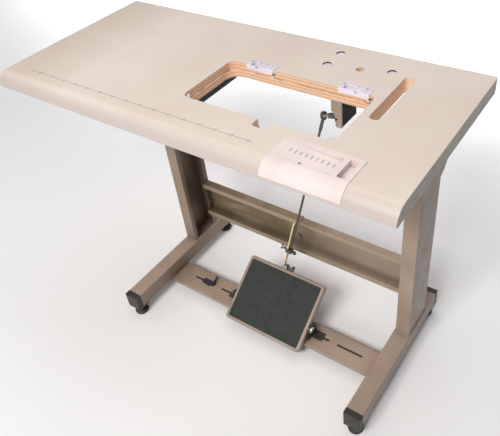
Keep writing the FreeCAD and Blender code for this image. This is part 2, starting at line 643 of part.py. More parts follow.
def make_rod_lug():
    """Bracket under the pedal's far edge: one ear carries the rod's ball pin, the other is free."""
    parts = [block(LUG_X, LUG_X + LUG_WIDTH, LUG_START, LUG_REACH, PEDAL_SKIRT - 3, PEDAL_SKIRT)]
    for x in (LUG_X, LUG_X + LUG_WIDTH - EAR_PLATE):
        parts.append(rod_x(EAR_RADIUS, x, x + EAR_PLATE, LUG_REACH, LUG_HEIGHT))
        parts.append(block(x, x + EAR_PLATE, PEDAL_REAR + 1.5, LUG_REACH + EAR_RADIUS, PEDAL_SKIRT - 3,
                           LUG_HEIGHT))
    far_hole = rod_x(2.6, LUG_X + 12, LUG_X + 30, LUG_REACH, LUG_HEIGHT)
    rivets = []
    for x in (LUG_X + 7, LUG_X + 17):
        rivets.append(rod_z(3.5, PEDAL_SKIRT - 5, PEDAL_SKIRT - 2, x, LUG_START + 9))
    lug = to_pedal(join(join(*parts).cut(far_hole), *rivets))
    neck_length = PEDAL_CENTRE_X + LUG_X + 1 - EYE_CENTRE.x
    neck = Part.makeCylinder(1.9, neck_length, EYE_CENTRE, Vector(1, 0, 0))
    save("pedal_rod_lug", join(lug, neck, Part.makeSphere(PIN_BALL, EYE_CENTRE)))


def make_brackets():
    """Angle brackets that stand on the bar and hold the pedal's two pivot bolts."""
    top = FOOT_BOTTOM_Z
    half = PEDAL_WIDTH / 2
    pivot_y, pivot_z = PEDAL_PIVOT.y, PEDAL_PIVOT.z
    bolts = []
    for name, way in (("left", -1), ("right", 1)):
        inner = PEDAL_CENTRE_X + way * (half + BRACKET_GAP)
        outer = inner + way * BRACKET_PLATE
        low, high = sorted((inner, outer))
        upright = join(block(low, high, pivot_y - 13, pivot_y + 28, top, pivot_z - 12),
                       rod_x(13.0, low, high, pivot_y, pivot_z),
                       block(low, high, pivot_y - 13, pivot_y + 13, pivot_z - 14, pivot_z))
        base = block(*sorted((inner, inner + way * 36)), pivot_y + 2, pivot_y + 30, top, top + 3)
        bolt_x = inner + way * 20
        bore = rod_x(PIN_RADIUS, low - 1, high + 1, pivot_y, pivot_z)
        bracket = cut(join(upright, base), bore, rod_z(3.2, top - 1, top + 4, bolt_x, SLOT_Y))
        save("pivot_bracket_" + name, bracket)
        shank = rod_z(3.1, top - 9, top + 4, bolt_x, SLOT_Y)
        head = hexagon_z(10.0, top + 3, top + 7.5, bolt_x, SLOT_Y)
        nut = hexagon_z(10.0, top - BAR_PLATE - 5, top - BAR_PLATE, bolt_x, SLOT_Y)
        bolts.append(join(shank, head, nut))
        tip = PEDAL_CENTRE_X + way * (half - 11)
        pin = rod_x(PIN_RADIUS, *sorted((tip, outer + way * 6)), pivot_y, pivot_z)
        pin_head = rod_x(9.0, *sorted((outer, outer + way * 7)), pivot_y, pivot_z)
        washer = rod_x(8.0, *sorted((inner - way * (BRACKET_GAP - 0.4), inner)), pivot_y, pivot_z)
        save("pivot_bolt_" + name, join(pin, pin_head, washer))
    save("bracket_bolts", *bolts)


# ---- rod between pedal and lever ----
ROD_RADIUS = 3.3
CLAMP_AT = 61.0
BALL_RADIUS = 6.0
EYE_BORE = 8.2
EYE_RADIUS = 11.5
EYE_WIDTH = 8.0


def to_rod(shape):
    """Moves a shape drawn up the Z axis onto the line from the pedal lug to the lever's ball."""
    placed = shape.copy()
    placed.Placement = Placement(ROD_FOOT, ROD_TURN)
    return placed


def stud_direction():
    away = Vector(LEVER_SHAFT_X - LEVER_BALL.x, 0, LEVER_SHAFT_Z - LEVER_BALL.z)
    return away.normalize()


def make_rod():
    length = (LEVER_BALL - ROD_FOOT).Length
    flat_x = (-BAR_OFFSET - 2, -BAR_OFFSET + 2)
    bar = join(block(*flat_x, -6.5, 6.5, 0, 160), rod_x(7.5, *flat_x, 0, 0), rod_x(6.5, *flat_x, 0, 160))
    socket = Part.makeSphere(PIN_BALL + 0.05, Vector(-BAR_OFFSET, 0, 0))
    save("rod_lower_bar", to_rod(cut(bar, socket, rod_x(3.0, *flat_x, 0, 150))))
    save("rod_upper", to_rod(rod_z(ROD_RADIUS, CLAMP_AT - 12, length - 20, 0, 0)))
    make_clamp(flat_x)
    shank = rod_z(ROD_RADIUS + 1.2, length - 37, length - 15, 0, 0)
    tip = rod_z(ROD_RADIUS + 0.5, length - 16, length - 9.5, 0, 0)
    neck = to_rod(join(shank, tip).cut(rod_z(ROD_RADIUS, length - 38, length - 20, 0, 0)))
    along = stud_direction()
    start = LEVER_BALL - along * (EYE_WIDTH / 2)
    ring = Part.makeCylinder(EYE_RADIUS, EYE_WIDTH, start, along)
    hole = Part.makeCylinder(EYE_BORE, EYE_WIDTH + 4, start - along * 2, along)
    save("rod_end_eye", cut(join(neck, ring), hole))


def make_clamp(flat_x):
    """Clamp that ties the flat bar to the round rod, and its thumb screw."""
    low, high = CLAMP_AT - 6.5, CLAMP_AT + 6.5
    body = block(flat_x[0] - 3.3, 7.0, -8.2, 8.2, low, high)
    channel = block(flat_x[0] - 0.05, flat_x[1] + 0.05, -6.55, 6.55, low - 1, high + 1)
    bore = rod_z(ROD_RADIUS + 0.05, low - 1, high + 1, 0, 0)
    screw_bore = rod_x(2.56, flat_x[0] - 4, flat_x[0], 0, CLAMP_AT)
    ring = Part.makeTorus(6.0, 1.6, Vector(14.0, 0, CLAMP_AT), Vector(0, 1, 0))
    ring_stem = rod_x(2.0, 7.0, 9.5, 0, CLAMP_AT)
    save("rod_clamp", to_rod(join(cut(body, channel, bore, screw_bore), ring, ring_stem)))
    shank = rod_x(2.5, -22, flat_x[0] - 0.35, 0, CLAMP_AT)
    wing = block(-31, -21, -1.5, 1.5, low, high)
    wing = wing.makeFillet(1.4, [e for e in wing.Edges if abs(e.Vertexes[0].X - e.Vertexes[-1].X) < 0.1])
    save("thumb_screw", to_rod(join(shank, wing, rod_x(4.5, -24, -17, 0, CLAMP_AT))))


# ---- speed control under the top ----
CONTROL = (258.0, 288.0, 104.0, 178.0, 660.0, 740.0)
SHAFT_RADIUS = 4.0
ARM_YS = (106.0, 114.0)


def make_lever():
    along = stud_direction() * -1
    centre = Vector(LEVER_SHAFT_X, ARM_YS[0], LEVER_SHAFT_Z)
    across = Vector(-along.z, 0, along.x)
    thick = Vector(0, ARM_YS[1] - ARM_YS[0], 0)
    reach = 33.0
    corners = [
        centre + across * 8, centre + along * reach + across * 6,
        centre + along * reach - across * 6, centre - across * 8,
    ]
    arm = join(polygon_prism(corners, thick), rod_y(9.5, *ARM_YS, LEVER_SHAFT_X, LEVER_SHAFT_Z))
    save("lever_arm", cut(arm, rod_y(SHAFT_RADIUS, 100, 120, LEVER_SHAFT_X, LEVER_SHAFT_Z)))
    root = Vector(LEVER_SHAFT_X, LEVER_BALL.y, LEVER_SHAFT_Z) + along * reach
    nut = Part.makeCylinder(5.0, 4.0, root, along)
    neck = Part.makeCylinder(2.6, (LEVER_BALL - root).Length, root, along)
    ball = Part.makeSphere(BALL_RADIUS)
    ball.Placement = Placement(LEVER_BALL, Rotation(Vector(0, 0, 1), along))
    save("lever_ball_stud", join(nut, neck, ball))
    save("lever_shaft", rod_y(SHAFT_RADIUS, 105.0, 179.0, LEVER_SHAFT_X, LEVER_SHAFT_Z))


def make_control():
    x0, x1, y0, y1, z0, z1 = CONTROL
    wall = 2.5
    shell = block(x0, x1, y0, y1, z0, z1)
    hollow = block(x0 + wall, x1 - wall, y0 - 1, y1 - wall, z0 + wall, z1 - wall)
    window = block(x0 - 1, x0 + 9, y0 - 1, y0 + 14, z0 - 1, z0 + 52)
    partition = block(x0 + 0.5, x1 - 0.5, y0 + 20, y0 + 23, z0 + 0.5, z1 - 0.5)
    flange = block(x0 - 12, x1 + 12, y0 + 4, y1, z1 - 3, z1)
    bore = rod_y(SHAFT_RADIUS + 0.06, y0, y1 + 1, LEVER_SHAFT_X, LEVER_SHAFT_Z)
    screws = []
    holes = []
    for x in (x0 - 6, x1 + 6):
        for y in (y0 + 14, y1 - 10):
            holes.append(rod_z(2.3, z1 - 4, z1 + 1, x, y))
            screws.append(join(rod_z(4.2, z1 - 6, z1 - 3, x, y), rod_z(2.2, z1 - 4, z1, x, y)))
    cover_holes = [rod_y(1.9, y0 - 4, y0 + 8, x1 - 5, z) for z in (z0 + 6, z1 - 10)]
    box = join(shell.cut(hollow), partition, flange)
    lugs = [block(x1 - 9, x1 - 1, y0, y0 + 7, z - 4, z + 4) for z in (z0 + 6, z1 - 10)]
    save("control_box", cut(join(box, *lugs), window, bore, *holes, *cover_holes))
    outline = [
        (x0 - 1, z1 - 1), (x1, z1 - 1), (x1, z0 - 2), (x0 + 12, z0 - 2), (x0 + 11, z0 + 14),
        (x0 + 18, z0 + 22), (x0 + 10, z0 + 26), (x0 + 8, z0 + 34), (x0 - 1, z0 + 44),
    ]
    corners = [Vector(x, y0 - 2.5, z) for x, z in outline]
    cover = polygon_prism(corners, Vector(0, 2.5, 0))
    save("control_cover", cover.cut(cover_holes))
    for z in (z0 + 6, z1 - 10):
        screws.append(join(rod_y(3.4, y0 - 4.5, y0 - 2.5, x1 - 5, z), rod_y(1.8, y0 - 3, y0 + 6, x1 - 5, z)))
    save("control_screws", *screws)
    coil = Part.makeHelix(3.0, 24.0, 6.5)
    profile = Part.Wire([Part.Circle(Vector(6.5, 0, 0), Vector(0, 1, 0), 1.0).toShape()])
    spring = Part.Wire(coil.Edges).makePipeShell([profile], True, True)
    coil_start = Vector(LEVER_SHAFT_X, y0 + 26, LEVER_SHAFT_Z)
    spring.Placement = Placement(coil_start, Rotation(Vector(1, 0, 0), -90))
    save("lever_return_spring", spring)


make_top()
make_hole_caps()
make_seats()
make_cushions()
make_tray()
make_drawer()
make_columns()
make_top_arms()
make_feet()
make_brace()
make_bar()
make_spare_hook()
make_pedal()
make_rod_lug()
make_brackets()
make_rod()
make_lever()
make_control()
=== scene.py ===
import json
import math

import bmesh
import bpy
from mathutils import Euler, Matrix, Vector, noise


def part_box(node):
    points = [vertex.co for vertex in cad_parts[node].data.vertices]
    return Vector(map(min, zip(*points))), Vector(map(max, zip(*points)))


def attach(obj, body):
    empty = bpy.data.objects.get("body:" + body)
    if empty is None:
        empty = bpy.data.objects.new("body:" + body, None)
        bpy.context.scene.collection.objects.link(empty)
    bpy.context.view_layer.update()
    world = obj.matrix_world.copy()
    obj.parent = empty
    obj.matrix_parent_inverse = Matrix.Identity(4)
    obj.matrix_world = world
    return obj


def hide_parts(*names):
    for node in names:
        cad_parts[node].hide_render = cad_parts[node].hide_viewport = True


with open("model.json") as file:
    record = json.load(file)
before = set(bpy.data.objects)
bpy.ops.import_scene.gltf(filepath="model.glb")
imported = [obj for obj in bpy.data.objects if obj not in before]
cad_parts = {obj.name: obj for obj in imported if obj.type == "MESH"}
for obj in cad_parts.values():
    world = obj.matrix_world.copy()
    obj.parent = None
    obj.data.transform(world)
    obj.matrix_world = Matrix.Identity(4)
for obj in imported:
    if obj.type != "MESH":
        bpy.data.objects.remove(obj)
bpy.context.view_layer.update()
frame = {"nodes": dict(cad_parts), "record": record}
nodes = frame["nodes"]
MM = 0.001
scene = bpy.context.scene


# ---------------------------------------------------------------- camera and light
CAMERA_PLACE = (0.91085, -0.99328, 1.49898)
CAMERA_TURN = (49.8059, 4.7213, 33.9561)
CAMERA_LENS = 42.38
CAMERA_SHIFT = (-0.0552, -0.0397)


def make_camera():
    data = bpy.data.cameras.new("camera")
    data.sensor_width = 36.0
    data.lens = CAMERA_LENS
    data.shift_x, data.shift_y = CAMERA_SHIFT
    data.clip_start = 0.05
    data.clip_end = 60.0
    cam = bpy.data.objects.new("camera", data)
    cam.location = CAMERA_PLACE
    cam.rotation_euler = Euler([math.radians(a) for a in CAMERA_TURN], "XYZ")
    scene.collection.objects.link(cam)
    scene.camera = cam


make_camera()


def area_light(name, place, target, size, power, colour=(1.0, 1.0, 1.0), spread=180.0):
    data = bpy.data.lights.new(name, "AREA")
    data.shape = "RECTANGLE"
    data.size = size[0]
    data.size_y = size[1]
    data.energy = power
    data.color = colour
    data.spread = math.radians(spread)
    lamp = bpy.data.objects.new(name, data)
    lamp.location = place
    aim = Vector(target) - Vector(place)
    lamp.rotation_euler = aim.to_track_quat("-Z", "Y").to_euler()
    scene.collection.objects.link(lamp)


area_light("key", (0.35, -3.3, 3.5), (0.15, 0.0, 0.45), (1.8, 1.3), 152, (1.0, 0.985, 0.965))
area_light("left", (-2.8, -0.4, 2.4), (-0.2, 0.0, 0.5), (1.6, 1.6), 10, (1.0, 0.98, 0.96))
area_light("top", (-0.1, 1.4, 3.2), (0.05, 0.0, 0.6), (2.6, 1.8), 25, (0.98, 0.98, 1.0))
area_light("backdrop", (-1.2, 2.9, 3.4), (-1.2, 2.9, 0.0), (4.5, 2.0), 95.0, spread=60.0)


def make_world():
    world = bpy.data.worlds.new("studio")
    world.use_nodes = True
    scene.world = world
    back = world.node_tree.nodes["Background"]
    back.inputs["Color"].default_value = (0.95, 0.96, 1.0, 1.0)
    back.inputs["Strength"].default_value = 0.26


make_world()
scene.view_settings.view_transform = "Standard"
scene.view_settings.look = "None"
scene.view_settings.exposure = 0.0


# ---------------------------------------------------------------- material kit
def srgb(r, g, b):
    out = []
    for value in (r, g, b):
        v = value / 255.0
        out.append(v / 12.92 if v <= 0.04045 else ((v + 0.055) / 1.055) ** 2.4)
    return (*out, 1.0)


class Kit:
    """Small helper that adds shader nodes to one material."""

    def __init__(self, name, rough, metal=0.0, coat=0.0):
        self.mat = bpy.data.materials.new(name)
        self.mat.use_nodes = True
        self.tree = self.mat.node_tree
        self.bsdf = self.tree.nodes["Principled BSDF"]
        self.bsdf.inputs["Metallic"].default_value = metal
        self.bsdf.inputs["Roughness"].default_value = rough
        self.bsdf.inputs["Coat Weight"].default_value = coat
        self.coord = self.tree.nodes.new("ShaderNodeTexCoord").outputs["Object"]

    def link(self, a, b):
        self.tree.links.new(a, b)

    def stretch(self, x, y, z):
        node = self.tree.nodes.new("ShaderNodeMapping")
        node.inputs["Scale"].default_value = (x, y, z)
        self.link(self.coord, node.inputs["Vector"])
        return node.outputs["Vector"]

    def noise(self, scale, detail=3.0, rough=0.5, vector=None):
        node = self.tree.nodes.new("ShaderNodeTexNoise")
        node.inputs["Scale"].default_value = scale
        node.inputs["Detail"].default_value = detail
        node.inputs["Roughness"].default_value = rough
        self.link(vector or self.coord, node.inputs["Vector"])
        return node.outputs["Fac"]

    def ramp(self, value, *stops):
        node = self.tree.nodes.new("ShaderNodeValToRGB")
        ramp = node.color_ramp
        while len(ramp.elements) < len(stops):
            ramp.elements.new(0.5)
        for element, (place, colour) in zip(ramp.elements, stops):
            element.position = place
            element.color = colour if len(colour) == 4 else (*colour, 1.0)
        self.link(value, node.inputs["Fac"])
        return node.outputs["Color"]

    def mask(self, value, low, high):
        node = self.tree.nodes.new("ShaderNodeMapRange")
        node.inputs["From Min"].default_value = low
        node.inputs["From Max"].default_value = high
        node.clamp = True
        self.link(value, node.inputs["Value"])
        return node.outputs["Result"]

    def scaled(self, value, low, high, a=0.0, b=1.0):
        node = self.tree.nodes.new("ShaderNodeMapRange")
        node.inputs["From Min"].default_value = a
        node.inputs["From Max"].default_value = b
        node.inputs["To Min"].default_value = low
        node.inputs["To Max"].default_value = high
        self.link(value, node.inputs["Value"])
        return node.outputs["Result"]

    def math(self, kind, a, b):
        node = self.tree.nodes.new("ShaderNodeMath")
        node.operation = kind
        for socket, value in zip(node.inputs, (a, b)):
            if isinstance(value, (int, float)):
                socket.default_value = value
            else:
                self.link(value, socket)
        return node.outputs[0]

    def mix(self, factor, a, b):
        node = self.tree.nodes.new("ShaderNodeMix")
        node.data_type = "RGBA"
        for socket, value in ((node.inputs[0], factor), (node.inputs[6], a), (node.inputs[7], b)):
            if isinstance(value, (int, float, tuple)):
                socket.default_value = value
            else:
                self.link(value, socket)
        return node.outputs[2]

    def split(self):
        node = self.tree.nodes.new("ShaderNodeSeparateXYZ")
        self.link(self.coord, node.inputs[0])
        return node.outputs

    def facing(self):
        geometry = self.tree.nodes.new("ShaderNodeNewGeometry")
        node = self.tree.nodes.new("ShaderNodeSeparateXYZ")
        self.link(geometry.outputs["Normal"], node.inputs[0])
        return node.outputs

    def hollow(self, distance):
        """Nearly 1 in the open and towards 0 in corners and cavities."""
        node = self.tree.nodes.new("ShaderNodeAmbientOcclusion")
        node.samples = 6
        node.inputs["Distance"].default_value = distance
        return node.outputs["AO"]

    def colour(self, value):
        self.link(value, self.bsdf.inputs["Base Color"])

    def rough(self, value):
        self.link(value, self.bsdf.inputs["Roughness"])

    def bump(self, height, distance, strength=1.0, under=None):
        node = self.tree.nodes.new("ShaderNodeBump")
        node.inputs["Distance"].default_value = distance
        node.inputs["Strength"].default_value = strength
        self.link(height, node.inputs["Height"])
        if under is not None:
            self.link(under, node.inputs["Normal"])
        self.link(node.outputs["Normal"], self.bsdf.inputs["Normal"])
        return node.outputs["Normal"]


def paint(name, base, dark, light, rough=0.42, coat=0.15, *, worn, side_shade=0.0):
    """Stove enamel: slight orange peel, soft colour drift, dust and a few scratches, with painted shade on
    faces turned towards +X and in corners and hollows.
    """
    k = Kit(name, rough, coat=coat)
    k.bsdf.inputs["Coat Roughness"].default_value = 0.25
    drift = k.noise(6.0, 4.0)
    tone = k.ramp(drift, (0.3, dark), (0.52, base), (0.75, light))
    speck = k.mask(k.noise(900.0, 2.0), 0.62, 0.72)
    tone = k.mix(k.scaled(speck, 0.0, 0.25), tone, light)
    scratch = k.mask(k.noise(60.0, 6.0, 0.7, k.stretch(1.0, 1.0, 14.0)), 0.70, 0.74)
    chips = k.mask(k.noise(38.0, 5.0, 0.65), 0.72, 0.735)
    wear = k.math("MAXIMUM", k.scaled(scratch, 0.0, 0.35), k.scaled(chips, 0.0, 0.8))
    tone = k.mix(wear, tone, worn)
    shade = tuple(c * 0.3 for c in dark[:3]) + (1.0,)
    # Painted shade: faces turned towards +X are mixed towards the shade colour.
    side_shade_mask = k.mask(k.facing()["X"], 0.5, 0.95)
    tone = k.mix(k.scaled(side_shade_mask, 0.0, side_shade), tone, shade)
    # Painted shade: corners and hollows are mixed towards the shade colour.
    k.colour(k.mix(k.scaled(k.hollow(0.12), 0.85, 0.0, 0.15, 0.8), tone, shade))
    k.rough(k.scaled(k.noise(24.0, 4.0), rough - 0.1, rough + 0.14, 0.25, 0.75))
    peel = k.bump(k.noise(420.0, 2.0), 0.00012, 0.5)
    k.bump(k.noise(5.0, 2.0), 0.0012, 0.2, peel)
    return k.mat


def moulded(name, base, dark, rough=0.45, coat=0.0, grain=0.00008, subsurface=0.0):
    """Moulded plastic or rubber: fine grain, faint flow marks and scuffs, with painted shade in crevices.
    """
    k = Kit(name, rough, coat=coat)
    if subsurface:
        k.bsdf.inputs["Subsurface Weight"].default_value = subsurface
        k.bsdf.inputs["Subsurface Radius"].default_value = (0.012, 0.010, 0.012)
        k.bsdf.inputs["Subsurface Scale"].default_value = 0.4
    drift = k.noise(14.0, 4.0)
    tone = k.ramp(drift, (0.3, dark), (0.62, base))
    scuff = k.mask(k.noise(120.0, 6.0, 0.75, k.stretch(1.0, 6.0, 1.0)), 0.64, 0.72)
    pale = tuple(min(1.0, c * 1.5 + 0.02) for c in base[:3]) + (1.0,)
    tone = k.mix(k.scaled(scuff, 0.0, 0.3), tone, pale)
    shade = tuple(c * 0.25 for c in dark[:3]) + (1.0,)
    # Painted shade: crevices are mixed towards the shade colour.
    k.colour(k.mix(k.scaled(k.hollow(0.015), 0.6, 0.0, 0.1, 0.8), tone, shade))
    k.rough(k.scaled(k.noise(60.0, 4.0), rough - 0.08, rough + 0.14, 0.25, 0.75))
    k.bump(k.noise(1400.0, 2.0), grain, 0.6)
    return k.mat


def metal(name, base, dark, rough=0.35):
    """Plated or oiled steel: drawn streaks, and dull dark patches scattered at random."""
    k = Kit(name, rough, metal=1.0)
    lines = k.noise(260.0, 4.0, 0.6, k.stretch(1.0, 1.0, 12.0))
    tone = k.ramp(lines, (0.3, dark), (0.7, base))
    patch = k.mask(k.noise(90.0, 5.0, 0.65), 0.55, 0.75)
    k.colour(k.mix(k.scaled(patch, 0.0, 0.55), tone, (0.03, 0.025, 0.02, 1.0)))
    k.rough(k.scaled(k.noise(150.0, 4.0), rough - 0.1, rough + 0.22, 0.3, 0.7))
    k.bump(lines, 0.00005, 0.5)
    return k.mat


def laminate():
    """Pale satin laminate: cloudy tint, fine flecks, and painted shade that greys the front nose and
    darkens the left end.
    """
    k = Kit("laminate", 0.42, coat=0.05)
    base, pale, pink = srgb(229, 215, 201), srgb(238, 226, 214), srgb(224, 205, 192)
    tone = k.ramp(k.noise(2.2, 3.0), (0.30, pink), (0.5, base), (0.72, pale))
    fine = k.noise(1500.0, 2.0)
    tone = k.mix(k.scaled(k.mask(fine, 0.56, 0.72), 0.0, 0.20), tone, srgb(196, 180, 164))
    flecks = k.mask(k.noise(520.0, 2.0), 0.66, 0.74)
    tone = k.mix(k.scaled(flecks, 0.0, 0.16), tone, srgb(252, 246, 238))
    # Painted shade: faces turned to the front, the nose, are greyed.
    front = k.mask(k.facing()["Y"], -0.15, -0.95)
    tone = k.mix(k.scaled(front, 0.0, 0.85), tone, srgb(196, 184, 178))
    # Painted shade: the top darkens towards its left end.
    far = k.mask(k.split()["X"], -0.36, -0.60)
    tone = k.mix(k.scaled(far, 0.0, 0.45), tone, srgb(196, 178, 162))
    smear = k.mask(k.noise(9.0, 5.0, 0.6, k.stretch(1.0, 3.0, 1.0)), 0.55, 0.8)
    tone = k.mix(k.scaled(smear, 0.0, 0.12), tone, srgb(205, 190, 172))
    k.colour(tone)
    k.rough(k.scaled(k.noise(30.0, 4.0), 0.34, 0.52, 0.25, 0.75))
    k.bump(k.noise(1100.0, 3.0), 0.00009, 0.6)
    return k.mat


PLY_THICKNESS = 0.0046


def plywood():
    """Layered board: end grain and long grain alternate with height; slot and notch walls are paler, as
    painted light.
    """
    k = Kit("plywood", 0.68)
    base, honey, dark = srgb(240, 204, 172), srgb(250, 222, 192), srgb(176, 122, 84)
    x, y, z = k.split()
    wobble = k.scaled(k.noise(22.0, 3.0), -0.0006, 0.0006, 0.2, 0.8)
    height = k.math("ADD", z, wobble)
    layer = k.math("MULTIPLY", height, 1.0 / PLY_THICKNESS)
    saw = k.math("FRACT", layer, 0.0)
    even = k.math("FRACT", k.math("MULTIPLY", layer, 0.5), 0.0)
    glue = k.math("LESS_THAN", saw, 0.16)
    flip = k.math("GREATER_THAN", even, 0.5)
    long_grain = k.noise(70.0, 5.0, 0.6, k.stretch(1.0, 1.0, 16.0))
    end_grain = k.noise(900.0, 4.0, 0.7, k.stretch(1.0, 1.0, 0.5))
    one = k.ramp(long_grain, (0.3, srgb(224, 180, 142)), (0.55, base), (0.8, honey))
    two = k.ramp(end_grain, (0.3, srgb(196, 148, 112)), (0.65, srgb(230, 190, 156)))
    tone = k.mix(flip, one, two)
    tone = k.mix(k.scaled(glue, 0.0, 0.75), tone, dark)
    # Painted light: slot and notch walls are mixed towards a pale colour.
    lit = k.math("MAXIMUM", k.mask(x, 0.400, 0.404), k.mask(y, -0.108, -0.111))
    k.colour(k.mix(k.scaled(lit, 0.0, 0.45), tone, srgb(255, 228, 196)))
    k.bump(k.math("ADD", long_grain, k.scaled(saw, 0.0, 0.6)), 0.0003, 0.5)
    return k.mat


def brace_paint():
    """Olive-brown paint with dusty, worn patches on the web, painted light on the lip and towards the right
    end, and painted shade towards the left end and in hollows.
    """
    k = Kit("brace_paint", 0.45, coat=0.1)
    k.bsdf.inputs["Coat Roughness"].default_value = 0.3
    tone = k.ramp(k.noise(7.0, 5.0, 0.6), (0.3, srgb(106, 90, 68)), (0.5, srgb(126, 109, 86)),
                  (0.72, srgb(146, 129, 107)))
    dust = k.mask(k.noise(9.0, 6.0, 0.68, k.stretch(0.5, 1.0, 2.2)), 0.52, 0.70)
    tone = k.mix(k.scaled(dust, 0.0, 0.55), tone, srgb(178, 162, 142))
    # Painted light: the brace is mixed towards a pale colour towards its right end.
    right = k.mask(k.split()["X"], 0.06, 0.34)
    tone = k.mix(k.scaled(right, 0.0, 0.62), tone, srgb(186, 166, 150))
    # Painted shade: the brace is mixed towards a dark colour towards its left end.
    left = k.mask(k.split()["X"], -0.04, -0.30)
    tone = k.mix(k.scaled(left, 0.0, 0.5), tone, srgb(84, 66, 46))
    # Painted light: the lip band is mixed towards a pale colour.
    lip = k.mask(k.split()["Y"], 0.0925, 0.0905)
    tone = k.mix(k.scaled(lip, 0.0, 0.75), tone, srgb(176, 158, 134))
    streak = k.mask(k.noise(46.0, 6.0, 0.7, k.stretch(0.25, 1.0, 5.0)), 0.66, 0.72)
    tone = k.mix(k.scaled(streak, 0.0, 0.5), tone, srgb(84, 70, 52))
    # Painted shade: hollows and the recessed web are mixed towards a dark colour.
    k.colour(k.mix(k.scaled(k.hollow(0.09), 0.85, 0.0, 0.25, 0.85), tone, srgb(46, 38, 27)))
    k.rough(k.scaled(k.noise(24.0, 4.0), 0.34, 0.6, 0.25, 0.75))
    k.bump(k.noise(420.0, 2.0), 0.00012, 0.5)
    return k.mat


MATERIALS = {
    "laminate": laminate(),
    "plywood": plywood(),
    "edge_plastic": moulded("edge_plastic", srgb(170, 163, 152), srgb(158, 152, 141), 0.5),
    "ivory_plastic": moulded("ivory_plastic", srgb(240, 223, 218), srgb(230, 213, 207), 0.4, 0.1),
    "clear_plastic": moulded("clear_plastic", srgb(238, 230, 238), srgb(222, 214, 226), 0.28, 0.3,
                             subsurface=0.5),
    "pale_rubber": moulded("pale_rubber", srgb(222, 218, 214), srgb(196, 190, 184), 0.6),
    # The last argument of the next three paints sets painted shade on faces turned towards +X.
    "stand_paint": paint("stand_paint", srgb(158, 138, 122), srgb(142, 122, 106), srgb(172, 153, 137),
                         worn=srgb(104, 92, 82), side_shade=0.42),
    # Painted light: a lighter copy of the stand paint, used on the left foot only.
    "left_foot_lit_paint": paint("left_foot_lit_paint", srgb(170, 148, 131), srgb(154, 133, 116), srgb(184, 163, 146),
                        worn=srgb(104, 92, 82), side_shade=0.42),
    # Painted shade: a darker copy of the stand paint, used on the left column only.
    "left_column_shaded_paint": paint("left_column_shaded_paint", srgb(142, 122, 104), srgb(126, 107, 88), srgb(156, 137, 119),
                          worn=srgb(104, 92, 82), side_shade=0.42),
    "cap_plastic": moulded("cap_plastic", srgb(60, 58, 50), srgb(44, 44, 38), 0.5),
    "zinc_steel": metal("zinc_steel", (0.62, 0.61, 0.58, 1.0), (0.42, 0.42, 0.40, 1.0)),
    "dark_steel": metal("dark_steel", (0.20, 0.19, 0.18, 1.0), (0.10, 0.095, 0.09, 1.0), 0.38),
    "bright_steel": metal("bright_steel", (0.78, 0.78, 0.78, 1.0), (0.6, 0.6, 0.6, 1.0), 0.2),
    "cream_paint": paint("cream_paint", srgb(236, 218, 170), srgb(212, 190, 140), srgb(246, 232, 192),
                         worn=srgb(120, 100, 72)),
    "mat_rubber": moulded("mat_rubber", srgb(47, 51, 48), srgb(43, 47, 44), 0.7, grain=0.0002),
    "drawer_plastic": moulded("drawer_plastic", srgb(22, 18, 14), srgb(12, 10, 8), 0.6),
    "box_paint": paint("box_paint", srgb(11, 20, 18), srgb(6, 12, 11), srgb(20, 30, 27), 0.8, 0.0,
                       worn=srgb(70, 72, 66)),
    "cover_paint": paint("cover_paint", srgb(160, 141, 122), srgb(140, 121, 103), srgb(176, 157, 138),
                         worn=srgb(96, 82, 70)),
    "brace_paint": brace_paint(),
    "bar_paint": paint("bar_paint", srgb(168, 148, 132), srgb(152, 132, 115), srgb(182, 162, 146),
                       worn=srgb(104, 92, 82)),
    "pedal_paint": paint("pedal_paint", srgb(156, 137, 123), srgb(140, 121, 106), srgb(174, 156, 142),
                         worn=srgb(112, 98, 84)),
    "bracket_paint": paint("bracket_paint", srgb(58, 60, 50), srgb(40, 44, 36), srgb(84, 82, 66), 0.4,
                           worn=srgb(128, 118, 92)),
    "ink": moulded("ink", srgb(112, 100, 92), srgb(88, 78, 72), 0.6),
    "purple_paint": paint("purple_paint", srgb(62, 50, 68), srgb(46, 38, 52), srgb(84, 70, 90),
                          worn=srgb(110, 104, 104)),
}


SLOTS = {s["node"]: s["material_slot"] for s in frame["record"]["subparts"]}
HOME = {node: body for body, members in frame["record"]["behaviour"]["bodies"].items() for node in members}
JOINTS = {j["name"]: j for j in frame["record"]["behaviour"]["joints"]}


# ---------------------------------------------------------------- mesh kit
CREASE_ANGLE = 28.0
FLAT_ANGLE = 0.8


def finish_piece(name, shape, body, slot, material=None, smooth=38.0):
    """Turns a bmesh into a named piece that rides on a body."""
    bmesh.ops.recalc_face_normals(shape, faces=shape.faces)
    mesh = bpy.data.meshes.new(name)
    shape.to_mesh(mesh)
    shape.free()
    for face in mesh.polygons:
        face.use_smooth = True
    mesh.set_sharp_from_angle(angle=math.radians(smooth))
    mesh.materials.append(material or MATERIALS[slot])
    piece = bpy.data.objects.new(name, mesh)
    scene.collection.objects.link(piece)
    weighted = piece.modifiers.new("weighted", "WEIGHTED_NORMAL")
    weighted.keep_sharp = True
    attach(piece, body)
    return piece


